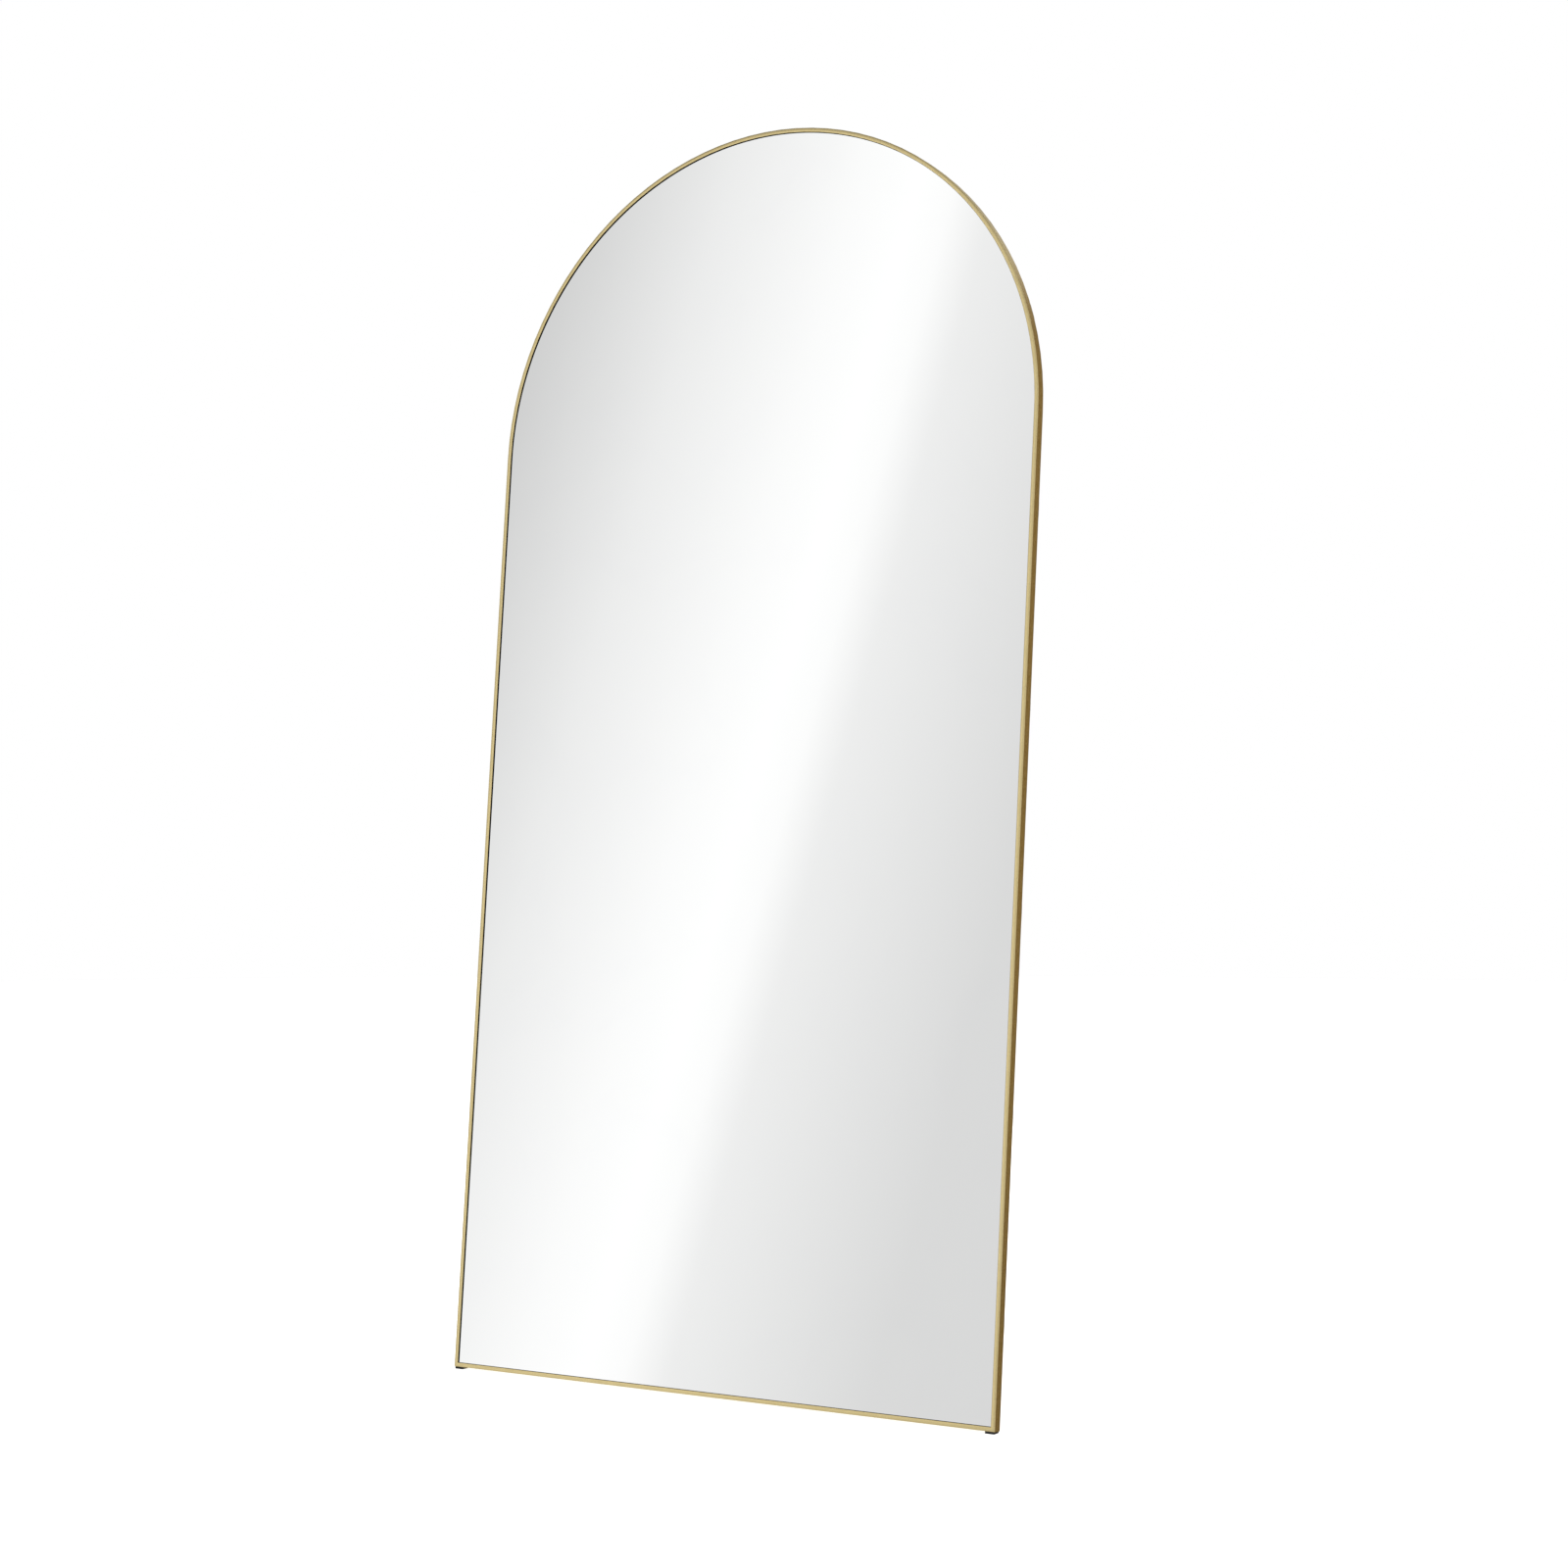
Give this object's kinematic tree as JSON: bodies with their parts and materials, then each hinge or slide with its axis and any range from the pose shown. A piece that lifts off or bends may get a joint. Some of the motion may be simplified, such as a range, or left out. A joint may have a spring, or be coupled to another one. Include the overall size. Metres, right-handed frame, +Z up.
{
  "type": "leaning floor mirror",
  "caption": "Full length mirror with a half round top in a slim metal frame, leaning back on rubber feet and a folding tube stand, with swinging wire hangers behind.",
  "frame": {"origin": "on the floor, under the middle of the mirror's outline as it leans", "axes": "+Z up, +X to the right of someone facing the glass, +Y backwards, to the stand and the wall; the glass faces -Y and slightly up"},
  "size_m": [0.9, 0.2357, 1.8151],
  "materials": {
    "frame_metal": "fine brushed, pale gold anodised, satin",
    "key_metal": "mill finish",
    "mirror_silvered": "clear silvered glass, polished edge",
    "film_grey": "grey safety film bonded to the mirror's paint",
    "foam_tape": "closed cell foam tape",
    "black_rubber": "matte extruded strip",
    "block_rubber": "matte",
    "board_fibre": "fine fibreboard, sealed",
    "clip_steel": "zinc plated sheet",
    "hanger_steel": "zinc plated sheet",
    "ring_steel": "zinc plated wire",
    "screw_steel": "zinc plated",
    "stand_steel": "black powder coat, satin",
    "plug_plastic": "moulded, matte",
    "bumper_rubber": "matte moulded",
    "foot_rubber": "matte moulded"
  },
  "bodies": {
    "mirror_frame": {"left_stand_bracket": "stand_steel", "right_stand_bracket": "stand_steel", "stand_bracket_screws": "screw_steel", "stand_hinge_pins": "screw_steel", "frame_hoop": "frame_metal", "frame_sill": "frame_metal", "left_corner_key": "key_metal", "right_corner_key": "key_metal", "corner_key_screws": "screw_steel", "glazing_strip": "black_rubber", "mirror_glass": "mirror_silvered", "safety_film": "film_grey", "mounting_tape": "foam_tape", "setting_blocks": "block_rubber", "backing_board": "board_fibre", "board_clips": "clip_steel", "board_clip_screws": "screw_steel", "left_hanger_strap": "hanger_steel", "right_hanger_strap": "hanger_steel", "left_hanger_screws": "screw_steel", "right_hanger_screws": "screw_steel", "left_upper_bumper": "bumper_rubber", "right_upper_bumper": "bumper_rubber", "left_lower_bumper": "bumper_rubber", "right_lower_bumper": "bumper_rubber", "bumper_screws": "screw_steel", "left_foot_pad": "foot_rubber", "right_foot_pad": "foot_rubber"},
    "left_ring": {"left_hanger_ring": "ring_steel"},
    "right_ring": {"right_hanger_ring": "ring_steel"},
    "stand": {"stand_frame": "stand_steel", "stand_feet": "foot_rubber", "stand_end_plugs": "plug_plastic"}
  },
  "joints": [
    {"name": "left_ring_swing", "type": "hinge", "parent": "mirror_frame", "child": "left_ring", "pos_m": [-0.32, 0.02713, 1.34572], "axis": [1, 0, 0], "range_deg": [-2, 175]},
    {"name": "right_ring_swing", "type": "hinge", "parent": "mirror_frame", "child": "right_ring", "pos_m": [0.32, 0.02713, 1.34572], "axis": [1, 0, 0], "range_deg": [-2, 175]},
    {"name": "stand_fold", "type": "hinge", "parent": "mirror_frame", "child": "stand", "pos_m": [0, 0.01473, 1.146], "axis": [1, 0, 0], "range_deg": [-10.2, 0]}
  ]
}
